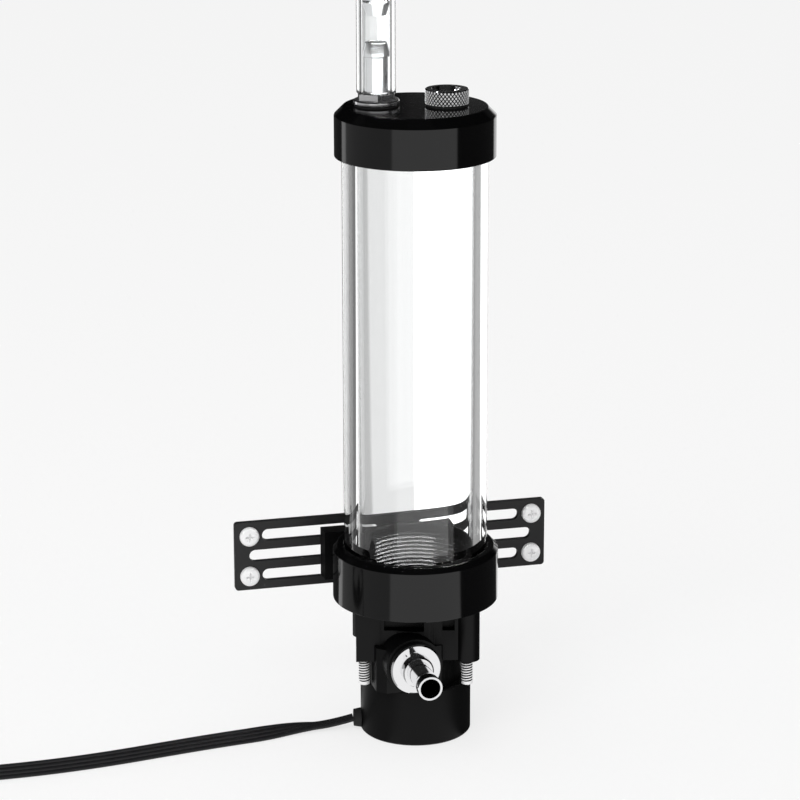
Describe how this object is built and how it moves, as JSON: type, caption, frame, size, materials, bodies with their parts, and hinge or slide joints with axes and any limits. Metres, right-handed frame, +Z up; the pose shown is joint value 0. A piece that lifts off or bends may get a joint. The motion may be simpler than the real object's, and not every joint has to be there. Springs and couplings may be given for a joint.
{
  "type": "coolant pump reservoir",
  "caption": "Upright clear tube reservoir on a small coolant pump, with capped ends, a hose fitting, a fill plug, an outlet nozzle, a slotted mounting bracket and a wired lead.",
  "frame": {"origin": "centre of the pump motor's round underside, on the tube's axis", "axes": "+Z up along the reservoir tube, -Y to the front where the outlet faces, +Y to the bracket behind, X along the bracket"},
  "size_m": [0.2819, 0.1004, 0.2835],
  "materials": {
    "motor_plastic": "satin",
    "circuit_board": "satin",
    "stator_steel": "laminated",
    "copper_wire": "enamelled",
    "can_plastic": "satin",
    "seal_rubber": "matt",
    "shaft_steel": "ground",
    "bush_plastic": "matt",
    "magnet_ferrite": "matt",
    "impeller_plastic": "satin",
    "head_acetal": "satin",
    "zinc_steel": "zinc plated",
    "cap_acetal": "polished black",
    "clear_acrylic": "polished clear",
    "chrome_plate": "polished",
    "clear_hose": "soft clear",
    "knurled_silver": "knurled",
    "black_aluminium": "black anodised",
    "bracket_paint": "satin black",
    "cable_rubber": "satin",
    "tie_nylon": "satin",
    "connector_nylon": "moulded",
    "brass_contact": "stamped"
  },
  "bodies": {
    "pump_reservoir": {"motor_housing": "motor_plastic", "motor_base_cover": "motor_plastic", "control_board": "circuit_board", "stator_core": "stator_steel", "stator_coils": "copper_wire", "rotor_can": "can_plastic", "can_gasket": "seal_rubber", "pump_shaft": "shaft_steel", "pump_head": "head_acetal", "head_seal": "seal_rubber", "head_studs": "zinc_steel", "bottom_cap": "cap_acetal", "bottom_tube_seal": "seal_rubber", "reservoir_tube": "clear_acrylic", "top_cap": "cap_acetal", "top_tube_seal": "seal_rubber", "hose_fitting": "chrome_plate", "hose_fitting_washer": "seal_rubber", "return_hose": "clear_hose", "hose_coupler": "chrome_plate", "outlet_fitting": "chrome_plate", "outlet_washer": "seal_rubber", "mount_block": "black_aluminium", "cap_screws": "zinc_steel", "clamp_screws": "zinc_steel", "clamp_washers": "zinc_steel", "cable_grommet": "cable_rubber", "pump_cable": "cable_rubber", "cable_tail": "cable_rubber", "cable_coil": "cable_rubber", "cable_tie": "tie_nylon", "cable_connector": "connector_nylon", "connector_contacts": "brass_contact"},
    "rotor": {"impeller": "impeller_plastic", "rotor_magnet": "magnet_ferrite", "rotor_bush": "bush_plastic"},
    "plug_ring": {"fill_plug_seal": "seal_rubber"},
    "plug": {"fill_plug": "knurled_silver"},
    "bracket": {"bracket_plate": "bracket_paint", "bracket_screws": "zinc_steel"}
  },
  "joints": [
    {"name": "rotor_spin", "type": "hinge", "parent": "pump_reservoir", "child": "rotor", "pos_m": [0, 0, 0.015], "axis": [0, 0, 1], "continuous": true},
    {"name": "plug_lift", "type": "slide", "parent": "pump_reservoir", "child": "plug_ring", "axis": [0, 0, 1], "range_m": [0, 0.006]},
    {"name": "plug_turn", "type": "hinge", "parent": "plug_ring", "child": "plug", "pos_m": [0.01027, -0.00264, 0.2245], "axis": [0, 0, 1], "range_deg": [0, 1616.6]},
    {"name": "bracket_slide", "type": "slide", "parent": "pump_reservoir", "child": "bracket", "axis": [1, 0, 0], "range_m": [-0.0075, 0.0075]}
  ],
  "couplings": [
    {"joint": "plug_turn", "follows": "plug_lift", "rad_per_m": 4699.5}
  ]
}
